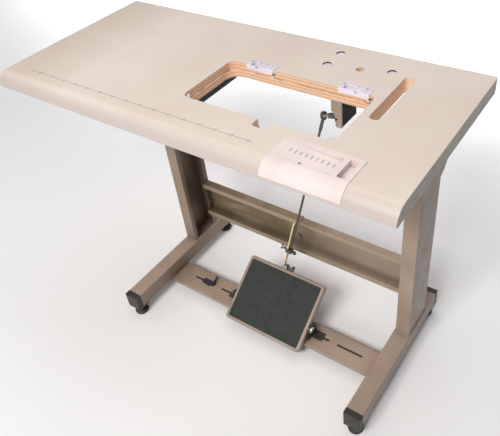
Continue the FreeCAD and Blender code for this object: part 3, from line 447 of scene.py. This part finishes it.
def refine(node, width, material=None):
    """Stands in for a CAD node with the same shape and softened edges."""
    shape = bmesh.new()
    shape.from_mesh(nodes[node].data)
    bmesh.ops.remove_doubles(shape, verts=shape.verts, dist=0.00001)
    bmesh.ops.dissolve_limit(shape, angle_limit=math.radians(FLAT_ANGLE), verts=shape.verts,
                             edges=shape.edges)
    crease = math.radians(CREASE_ANGLE)
    edges = [e for e in shape.edges if len(e.link_faces) == 2 and e.calc_face_angle(0.0) > crease]
    bmesh.ops.bevel(shape, geom=edges, offset=width * MM, offset_type="OFFSET", segments=2,
                    profile=0.55, affect="EDGES", clamp_overlap=False)
    piece = finish_piece(node + "_dressed", shape, HOME[node], SLOTS[node], material)
    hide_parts(node)
    return piece


def turn_to(axis):
    """Rotation that carries +Z onto an axis."""
    return Vector((0.0, 0.0, 1.0)).rotation_difference(Vector(axis).normalized()).to_matrix()


def value_at(value, angle):
    return value(angle) if callable(value) else value


def spun(shape, place, axis, rings, steps=40, tube=False):
    """Solid of rings round an axis. A ring is (radius, height), in mm, each a number or a function."""
    turn = turn_to(axis)
    place = Vector(place)
    loops = []
    for radius, height in rings:
        loop = []
        for step in range(steps):
            angle = 2.0 * math.pi * step / steps
            r = value_at(radius, angle) * MM
            local = Vector((r * math.cos(angle), r * math.sin(angle), value_at(height, angle) * MM))
            loop.append(shape.verts.new(place + turn @ local))
        loops.append(loop)
    pairs = list(zip(loops, loops[1:]))
    if tube:
        pairs.append((loops[-1], loops[0]))
    for low, high in pairs:
        for step in range(steps):
            after = (step + 1) % steps
            shape.faces.new((low[step], low[after], high[after], high[step]))
    if not tube:
        shape.faces.new(loops[0][::-1])
        shape.faces.new(loops[-1])


def hex_radius(across):
    def radius(angle):
        return 0.5 * across / math.cos((angle % (math.pi / 3.0)) - math.pi / 6.0)
    return radius


def hex_nut(shape, place, axis, across, height, bore=0.0):
    """Hexagon with both faces chamfered, as a nut when it has a bore."""
    wide = hex_radius(across)
    flat = 0.5 * across * 0.96

    def slope(angle):
        return (wide(angle) - flat) * 0.58

    def high(angle):
        return height - slope(angle)

    rings = [(flat, 0.0), (wide, slope), (wide, high), (flat, height)]
    if bore:
        rings += [(bore + 0.4, height), (bore, height - 0.4), (bore, 0.4), (bore + 0.4, 0.0)]
    spun(shape, place, axis, rings, steps=48, tube=bool(bore))


def threaded(shape, place, axis, radius, length, pitch=1.5, depth=0.55):
    """Rod with a helical thread."""
    count = max(4, int(length / pitch * 6))

    def ring(height):
        def at(angle):
            phase = (height / pitch - angle / (2.0 * math.pi)) % 1.0
            return radius - depth * abs(2.0 * phase - 1.0)
        return at

    rings = [(radius - depth, 0.0)]
    for step in range(1, count):
        height = length * step / count
        rings.append((ring(height), height))
    rings.append((radius - depth, length))
    spun(shape, place, axis, rings, steps=24)


def slab(shape, low, high, soft, segments=2):
    """Box with softened edges, from its two corners in mm."""
    made = bmesh.ops.create_cube(shape, size=1.0)["verts"]
    for vert in made:
        for axis in range(3):
            vert.co[axis] = (low[axis] if vert.co[axis] < 0 else high[axis]) * MM
    edges = list({e for v in made for e in v.link_edges})
    bmesh.ops.bevel(shape, geom=edges, offset=soft * MM, offset_type="OFFSET", segments=segments,
                    profile=0.5, affect="EDGES")


def bead(shape, points, radius, seed):
    """Weld bead along a path, with overlapping ripples; points in mm."""
    ripple = 2.2
    sides = 8
    path = []
    for a, b in zip(points, points[1:]):
        start, end = Vector(a), Vector(b)
        count = max(2, int((end - start).length / (ripple / 3.0)))
        path += [start.lerp(end, i / count) for i in range(count)]
    path.append(Vector(points[-1]))
    loops = []
    for i, centre in enumerate(path):
        along = (path[min(i + 1, len(path) - 1)] - path[max(i - 1, 0)]).normalized()
        side = along.cross(Vector((0.0, 0.0, 1.0)))
        side = side.normalized() if side.length > 0.01 else Vector((1.0, 0.0, 0.0))
        up = side.cross(along)
        wave = 0.78 + 0.22 * abs(math.sin(math.pi * i / 3.0))
        wave += 0.12 * noise.noise(centre * 0.11 + Vector((seed, 0.0, 0.0)))
        if i in (0, len(path) - 1):
            wave *= 0.3
        loop = []
        for step in range(sides):
            angle = 2.0 * math.pi * step / sides
            offset = (side * math.cos(angle) + up * math.sin(angle)) * radius * wave
            loop.append(shape.verts.new((centre + offset) * MM))
        loops.append(loop)
    for low, high in zip(loops, loops[1:]):
        for step in range(sides):
            after = (step + 1) % sides
            shape.faces.new((low[step], low[after], high[after], high[step]))
    shape.faces.new(loops[0])
    shape.faces.new(loops[-1][::-1])


def in_mm(point):
    return Vector(point) * 1000.0


# ---------------------------------------------------------------- softened copies of the CAD pieces
SOFT_EDGES = {
    0.15: ("table_laminate", "edge_band", "tray_screws", "rod_upper", "accessory_tray"),
    0.25: ("table_core", "hole_caps", "runner_screws", "control_screws", "top_arm_screws", "control_cover",
           "lever_ball_stud", "lever_shaft"),
    0.4: ("left_column", "right_column", "left_top_arm", "right_top_arm", "treadle_bar", "bar_bolts",
          "brace_bolts", "drawer_runner_left", "drawer_runner_right", "pivot_bracket_left",
          "pivot_bracket_right", "pedal_rod_lug", "rod_clamp", "rod_end_eye", "lever_arm", "spare_hook",
          "rod_lower_bar", "control_box", "hinge_seat_left", "hinge_seat_right", "brace_left",
          "brace_right"),
    0.6: ("left_foot", "right_foot", "drawer_tray", "corner_cushion_left",
          "corner_cushion_right", "pedal_frame"),
    0.9: ("front_cap_left", "front_cap_right", "rear_cap_left", "rear_cap_right", "pedal_mat"),
}
PAINTS = {
    "pivot_bracket_left": "bracket_paint", "pivot_bracket_right": "bracket_paint",
    "brace_bolts": "brace_paint",
    "brace_left": "brace_paint", "brace_right": "brace_paint", "treadle_bar": "bar_paint",
    # The left foot and left column get a lit and a shaded copy of the stand paint: painted light and
    # painted shade.
    "left_foot": "left_foot_lit_paint", "left_column": "left_column_shaded_paint",
    "pedal_frame": "pedal_paint",
}


def soften_nodes():
    """Rounds the edges of the CAD nodes by the widths above."""
    for width, names in SOFT_EDGES.items():
        for node in names:
            refine(node, width, material=MATERIALS.get(PAINTS.get(node)))


def dress_nodes():
    """Gives every CAD node a material, its own paint where it has one."""
    for name, obj in nodes.items():
        obj.data.materials.clear()
        obj.data.materials.append(MATERIALS[PAINTS.get(name, SLOTS[name])])


dress_nodes()
soften_nodes()


# ---------------------------------------------------------------- marks on the top
RULER_LEFT_MARGIN = 78.0
RULER_RIGHT_MARGIN = 54.0
RULER_FRONT_MARGIN = 61.0
RULER_LINE = 0.55
FIRST_TICK = 38.0
TICK_STEP = 47.0


def make_ruler():
    """Printed seam guide: a long line with cross ticks, in front of the cut-out."""
    low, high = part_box("table_laminate")
    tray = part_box("accessory_tray")[0]
    top = high.z * 1000.0
    x0 = low.x * 1000.0 + RULER_LEFT_MARGIN
    x1 = tray.x * 1000.0 - RULER_RIGHT_MARGIN
    y = low.y * 1000.0 + RULER_FRONT_MARGIN
    shape = bmesh.new()
    slab(shape, (x0, y - RULER_LINE, top - 0.05), (x1, y + RULER_LINE, top + 0.05), 0.04, 1)
    tick = x0 + FIRST_TICK
    reach = 11.0
    while tick < x1:
        slab(shape, (tick - RULER_LINE, y - reach, top - 0.04), (tick + RULER_LINE, y + reach, top + 0.06),
             0.04, 1)
        tick += TICK_STEP
        reach = 7.0
    finish_piece("ruler_line", shape, "stand", "laminate", MATERIALS["ink"])


TRAY_MARK_COUNT = 9
TRAY_MARK_STEP = 13.0
TRAY_ROW_FROM_BACK = 37.0
TRAY_SLOT_FROM_BACK = 73.8
TRAY_RAMP = (18.0, 7.5, 132.0)


def make_tray_marks():
    """Moulded ribs on the tray's sloping floor with dark marks beside them, partly print and partly their
    painted shadows, and two dark strips in its right wall, painted shade of two slots.
    """
    margin, fall, run = TRAY_RAMP
    low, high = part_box("accessory_tray")
    x0 = low.x * 1000.0
    y = high.y * 1000.0 - TRAY_ROW_FROM_BACK
    low_y = high.y * 1000.0 - TRAY_SLOT_FROM_BACK
    level = high.z * 1000.0 - 0.5
    ribs = bmesh.new()
    marks = bmesh.new()
    for i in range(TRAY_MARK_COUNT):
        reach = 15.0 + TRAY_MARK_STEP * i
        x = x0 + margin + reach
        floor = level - fall * reach / run
        slab(ribs, (x - 0.9, y - 6.0, floor - 0.6), (x + 0.9, y + 6.0, floor + 1.0), 0.5)
        # Dark marks beside each rib: partly print, partly the rib's painted shadow.
        slab(marks, (x + 0.9, y - 4.5, floor - 0.4), (x + 1.9, y + 3.5, floor + 0.12), 0.04, 1)
        slab(marks, (x - 0.4, y - 6.9, floor - 0.4), (x + 2.6, y - 6.1, floor + 0.22), 0.04, 1)
    # Painted shade: two dark strips on the right wall stand for the shade in two slots.
    wall = x0 + 149.95
    for near, far in ((low_y, low_y + 12.0), (low_y + 40.0, low_y + 58.0)):
        slab(marks, (wall - 1.1, near, level - 7.6), (wall, far, level - 0.9), 0.3, 1)
    finish_piece("tray_ribs", ribs, "stand", "ivory_plastic")
    finish_piece("tray_marks_and_shadows", marks, "stand", "ivory_plastic", MATERIALS["ink"])


HOLE_PLACES = ((802.0, 501.0), (799.0, 435.0), (966.0, 465.0))
CAP_DEPTH = 3.4


def make_hole_liners():
    """Dark sleeves above the three sunk caps, partly a dark liner and partly painted shade in the holes,
    each with a pale flared lip.
    """
    low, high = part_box("table_laminate")
    corner = in_mm(low)
    top = high.z * 1000.0
    sleeves = bmesh.new()
    lips = bmesh.new()
    for x, y in HOLE_PLACES:
        place = ((corner.x + x) * MM, (corner.y + y) * MM, (top - CAP_DEPTH) * MM)
        # Dark sleeve: partly a dark liner, partly painted shade in the hole.
        spun(sleeves, place, (0, 0, 1), [(12.4, 0.0), (12.4, 3.0), (12.0, 3.1), (12.0, 0.0)], tube=True)
        lip = [(12.4, 3.1), (13.4, 3.42), (13.2, 3.75), (12.6, 3.8), (12.1, 3.5), (12.0, 3.1)]
        spun(lips, place, (0, 0, 1), lip, tube=True)
    finish_piece("hole_liner_and_shade", sleeves, "stand", "clear_plastic", MATERIALS["drawer_plastic"])
    finish_piece("hole_lips", lips, "stand", "clear_plastic")


def make_seat_details():
    """Screws, dark screw pockets and stiffening ribs in the hinge seats."""
    for name, places in (("left", (0.12, 0.42, 0.66, 0.84)), ("right", (0.10, 0.55, 0.80))):
        low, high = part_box("hinge_seat_" + name)
        low, high = in_mm(low), in_mm(high)
        span = high.x - low.x
        pockets = bmesh.new()
        ribs = bmesh.new()
        for share in places:
            x = low.x + span * share
            y = high.y - 7.0
            place = (x * MM, y * MM, (high.z - 0.25) * MM)
            spun(pockets, place, (0, 0, 1), [(1.9, 0.0), (1.9, 0.5), (1.5, 0.6), (0.7, 0.35)], steps=20)
            slab(ribs, (x + 4.0, high.y - 12.0, high.z - 0.5), (x + 5.6, high.y - 1.5, high.z + 0.8), 0.35)
        back = (low.x + 2.0, high.y - 3.2, high.z - 0.5), (high.x - 2.0, high.y - 1.8, high.z + 1.0)
        slab(ribs, *back, 0.4)
        finish_piece("seat_pockets_" + name, pockets, "stand", "clear_plastic", MATERIALS["dark_steel"])
        finish_piece("seat_ribs_" + name, ribs, "stand", "clear_plastic")


make_ruler()
make_tray_marks()
make_hole_liners()
make_seat_details()


# ---------------------------------------------------------------- stand details
def make_welds():
    """Beads where the columns stand on the feet and carry the top plates."""
    for side, seed in (("left", 3.0), ("right", 11.0)):
        low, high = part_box(side + "_column")
        low, high = in_mm(low), in_mm(high)
        shape = bmesh.new()
        base = low.z + 0.4
        ring = [(low.x, low.y, base), (high.x, low.y, base), (high.x, high.y, base),
                (low.x, high.y, base), (low.x, low.y, base)]
        bead(shape, ring, 2.3, seed)
        crown = high.z - 0.6
        bead(shape, [(p[0], p[1], crown) for p in ring[:3]], 1.9, seed + 5.0)
        finish_piece("column_weld_" + side, shape, "stand", "stand_paint", smooth=60.0)


def make_glides():
    """Lathed pads with a rubber sole, threaded stems and lock nuts."""
    for end in ("front", "rear"):
        for side in ("left", "right"):
            tag = end + "_" + side
            low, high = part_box("glide_pad_" + tag)
            place = ((low.x + high.x) / 2, (low.y + high.y) / 2, 0.0)
            pad = bmesh.new()
            rings = [(18.0, 3.2), (21.9, 3.4), (22.0, 5.0), (21.3, 7.6), (19.4, 9.9), (15.6, 11.6),
                     (11.0, 12.5), (9.6, 13.0), (5.6, 13.0), (5.6, 9.0)]
            spun(pad, place, (0, 0, 1), rings)
            finish_piece("glide_cup_" + tag, pad, "glide_" + tag, "cap_plastic")
            sole = bmesh.new()
            rings = [(17.5, 0.0), (20.4, 0.0), (21.0, 0.6), (20.8, 1.5), (21.4, 2.2), (21.2, 3.5),
                     (17.5, 3.5)]
            spun(sole, place, (0, 0, 1), rings)
            sole_piece = finish_piece("glide_sole_" + tag, sole, "glide_" + tag, "cap_plastic",
                                      MATERIALS["mat_rubber"])
            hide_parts("glide_pad_" + tag)
            stem_low, stem_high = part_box("glide_stem_" + tag)
            stem = bmesh.new()
            threaded(stem, (place[0], place[1], stem_low.z), (0, 0, 1), 5.0,
                     (stem_high.z - stem_low.z) * 1000.0)
            hex_nut(stem, (place[0], place[1], high.z), (0, 0, 1), 15.0, 6.0, 4.6)
            piece = finish_piece("glide_screw_" + tag, stem, "glide_" + tag, "zinc_steel")
            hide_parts("glide_stem_" + tag)


def make_bracket_bolts():
    """Washers, nuts and threads of the two bolts that hold the pivot brackets on the bar."""
    low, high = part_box("bracket_bolts")
    shape = bmesh.new()
    y = (low.y + high.y) / 2
    top = high.z * 1000.0
    corner = 10.0 / math.sqrt(3.0) * MM
    for x in (low.x + corner, high.x - corner):
        seat = (top - 4.5) * MM
        washer = [(6.6, 0.0), (6.8, 0.3), (6.6, 1.0), (3.2, 1.0), (3.2, 0.0)]
        spun(shape, (x, y, seat), (0, 0, 1), washer, tube=True)
        hex_nut(shape, (x, y, seat + 0.9 * MM), (0, 0, 1), 9.8, 3.6, 2.9)
        threaded(shape, (x, y, low.z), (0, 0, 1), 3.0, (high.z - low.z) * 1000.0, 1.0, 0.4)
        hex_nut(shape, (x, y, low.z + 1.0 * MM), (0, 0, 1), 10.0, 5.0, 2.9)
    piece = finish_piece("bracket_bolts_dressed", shape, "stand", "dark_steel")
    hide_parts("bracket_bolts")


def make_pivot_bolts():
    """Turned pivot bolts: shoulder, washer and domed head."""
    pivot = Vector(JOINTS["pedal_tilt"]["pos_m"])
    for side, way in (("left", -1.0), ("right", 1.0)):
        low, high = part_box("pivot_bolt_" + side)
        inner = low.x if way > 0 else high.x
        length = (high.x - low.x) * 1000.0
        start = Vector((inner, pivot.y, pivot.z))
        axis = (way, 0.0, 0.0)
        shape = bmesh.new()
        rings = [(3.6, 0.0), (5.0, 1.2), (5.0, 10.6), (7.8, 10.6), (8.0, 11.0), (8.0, 13.0), (7.8, 13.4),
                 (5.0, 13.4), (5.0, length - 7.2), (8.6, length - 7.0), (9.0, length - 6.4),
                 (9.0, length - 2.4), (8.2, length - 0.9), (6.2, length - 0.1), (4.2, length),
                 (3.9, length - 2.6)]
        spun(shape, start, axis, rings)
        piece = finish_piece("pivot_bolt_" + side + "_dressed", shape, "stand", SLOTS["pivot_bolt_" + side])
        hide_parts("pivot_bolt_" + side)


make_welds()
make_glides()
make_bracket_bolts()
make_pivot_bolts()


# ---------------------------------------------------------------- rod details
def make_rod_details():
    """Thread and lock nut under the eye, and the thumb screw with its two wings."""
    joint = JOINTS["thumb_screw_turn"]
    hub = Vector(joint["pos_m"])
    side = Vector(joint["axis"]).normalized()
    ball_low, ball_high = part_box("lever_ball_stud")
    radius = 6.0 * MM
    ball = Vector((ball_low.x + radius, (ball_low.y + ball_high.y) / 2, ball_low.z + radius))
    along = (ball - hub).normalized()
    shape = bmesh.new()
    threaded(shape, ball - along * 0.068, along, 3.5, 30.0, 1.0, 0.3)
    hex_nut(shape, ball - along * 0.0430, along, 9.0, 4.4, 3.1)
    finish_piece("rod_lock_nuts", shape, "rod", "dark_steel")
    screw = bmesh.new()
    threaded(screw, hub - side * 0.022, side, 2.5, 11.9, 0.8, 0.3)
    spun(screw, hub - side * 0.0245, side, [(3.4, 0.0), (4.4, 0.6), (4.5, 5.0), (3.6, 7.2), (2.4, 7.4)])
    turn = Matrix((side, along.cross(side).normalized(), along)).transposed()
    for way in (-1.0, 1.0):
        wing = bmesh.new()
        rings = []
        for step in range(13):
            angle = math.pi * step / 12.0
            rings.append((3.6 * math.sin(angle) + 0.02, 4.6 - 4.6 * math.cos(angle)))
        start = Vector((-27.0, 0.0, way * 1.5))
        spun(wing, (0, 0, 0), (-0.55, 0.0, way * 0.9), rings, steps=20)
        for vert in wing.verts:
            vert.co.y *= 0.42
            vert.co = hub + turn @ (vert.co + start * MM)
        mesh = bpy.data.meshes.new("wing")
        wing.to_mesh(mesh)
        wing.free()
        screw.from_mesh(mesh)
        bpy.data.meshes.remove(mesh)
    piece = finish_piece("thumb_screw_dressed", screw, "thumb_screw", "dark_steel")
    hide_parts("thumb_screw")


make_rod_details()


# ---------------------------------------------------------------- floor
FLOOR_SIZE = 6.0


def make_floor():
    """Pale studio floor, just under the glides."""
    mesh = bpy.data.meshes.new("floor")
    shape = bmesh.new()
    bmesh.ops.create_grid(shape, x_segments=4, y_segments=4, size=FLOOR_SIZE)
    shape.to_mesh(mesh)
    shape.free()
    floor = bpy.data.objects.new("floor", mesh)
    floor.location = (0.0, 0.0, -0.0002)
    scene.collection.objects.link(floor)
    k = Kit("floor", 0.75)
    k.colour(k.ramp(k.noise(1.5, 2.0), (0.3, (0.93, 0.93, 0.935, 1)), (0.7, (0.96, 0.96, 0.96, 1))))
    mesh.materials.append(k.mat)


make_floor()
